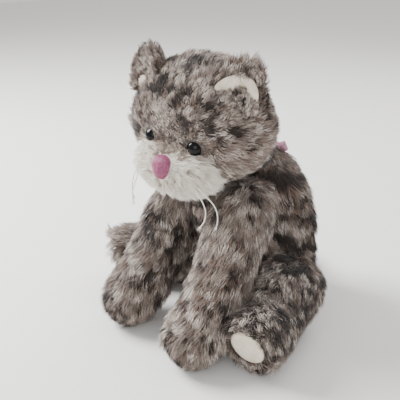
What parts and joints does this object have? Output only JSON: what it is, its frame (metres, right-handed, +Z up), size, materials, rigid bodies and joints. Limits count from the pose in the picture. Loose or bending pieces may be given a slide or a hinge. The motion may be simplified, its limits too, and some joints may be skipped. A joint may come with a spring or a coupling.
{
  "type": "plush cat",
  "caption": "Sitting long-pile plush cat with swivel neck, shoulders and hips on discs, thread whiskers and a ribbon collar.",
  "frame": {"origin": "middle of the seat, on the surface that the cat sits on", "axes": "+Z up, -Y the way the cat faces, +X towards its left side"},
  "size_m": [0.2492, 0.2368, 0.2531],
  "materials": {
    "brindle_plush": "long-pile plush, taupe with dark brown brindle tips",
    "white_plush": "long white pile",
    "cream_velour": "short-pile cream velour",
    "nose_thread": "satin-stitched rose thread",
    "eye_gloss": "polished black",
    "whisker_thread": "waxed white thread",
    "collar_ribbon": "charcoal grosgrain ribbon",
    "pink_satin": "dusty pink satin ribbon",
    "stuffing": "polyester fibre",
    "pellet_bag": "cotton bag of plastic pellets",
    "joint_plastic": "moulded joint disc"
  },
  "bodies": {
    "torso": {"torso_skin": "brindle_plush", "torso_stuffing": "stuffing", "pellet_bag": "pellet_bag", "tail_skin": "brindle_plush", "tail_stuffing": "stuffing", "collar_ribbon": "collar_ribbon", "collar_bow": "pink_satin", "neck_washer": "joint_plastic", "left_shoulder_washer": "joint_plastic", "right_shoulder_washer": "joint_plastic", "left_hip_washer": "joint_plastic", "right_hip_washer": "joint_plastic"},
    "head": {"head_skin": "brindle_plush", "head_stuffing": "stuffing", "muzzle_skin": "white_plush", "muzzle_stuffing": "stuffing", "nose": "nose_thread", "left_eye": "eye_gloss", "right_eye": "eye_gloss", "left_eye_washer": "joint_plastic", "right_eye_washer": "joint_plastic", "left_ear": "brindle_plush", "right_ear": "brindle_plush", "left_ear_lining": "cream_velour", "right_ear_lining": "cream_velour", "left_whisker_inner": "whisker_thread", "left_whisker_outer": "whisker_thread", "right_whisker_inner": "whisker_thread", "right_whisker_outer": "whisker_thread", "whisker_knots": "whisker_thread", "neck_disc": "joint_plastic", "neck_lock": "joint_plastic"},
    "left_arm": {"left_shoulder_disc": "joint_plastic", "left_shoulder_lock": "joint_plastic", "left_arm_skin": "brindle_plush", "left_arm_stuffing": "stuffing", "left_paw_pad": "cream_velour"},
    "right_arm": {"right_shoulder_disc": "joint_plastic", "right_shoulder_lock": "joint_plastic", "right_arm_skin": "brindle_plush", "right_arm_stuffing": "stuffing", "right_paw_pad": "cream_velour"},
    "left_leg": {"left_hip_disc": "joint_plastic", "left_hip_lock": "joint_plastic", "left_leg_skin": "brindle_plush", "left_leg_stuffing": "stuffing", "left_foot_pad": "cream_velour"},
    "right_leg": {"right_hip_disc": "joint_plastic", "right_hip_lock": "joint_plastic", "right_leg_skin": "brindle_plush", "right_leg_stuffing": "stuffing", "right_foot_pad": "cream_velour"}
  },
  "joints": [
    {"name": "neck_swivel", "type": "hinge", "parent": "torso", "child": "head", "pos_m": [0, -0.046, 0.15], "axis": [0, -0.342, 0.9397], "range_deg": [-60, 60], "deforming": ["left_whisker_inner", "left_whisker_outer", "right_whisker_inner", "right_whisker_outer", "whisker_knots"]},
    {"name": "left_shoulder", "type": "hinge", "parent": "torso", "child": "left_arm", "pos_m": [0.024, -0.053, 0.118], "axis": [-0.9877, -0.1564, 0], "range_deg": [0, 40], "deforming": ["left_whisker_inner", "left_whisker_outer", "right_whisker_inner", "right_whisker_outer", "whisker_knots"]},
    {"name": "right_shoulder", "type": "hinge", "parent": "torso", "child": "right_arm", "pos_m": [-0.024, -0.053, 0.118], "axis": [-0.9945, -0.1045, 0], "range_deg": [0, 35], "deforming": ["left_whisker_inner", "left_whisker_outer", "right_whisker_inner", "right_whisker_outer", "whisker_knots"]},
    {"name": "left_hip", "type": "hinge", "parent": "torso", "child": "left_leg", "pos_m": [0.038, -0.016, 0.04], "axis": [-1, 0, 0], "range_deg": [-75, 20]},
    {"name": "right_hip", "type": "hinge", "parent": "torso", "child": "right_leg", "pos_m": [-0.038, -0.016, 0.04], "axis": [-0.9877, 0.1564, 0], "range_deg": [-75, 20]}
  ]
}
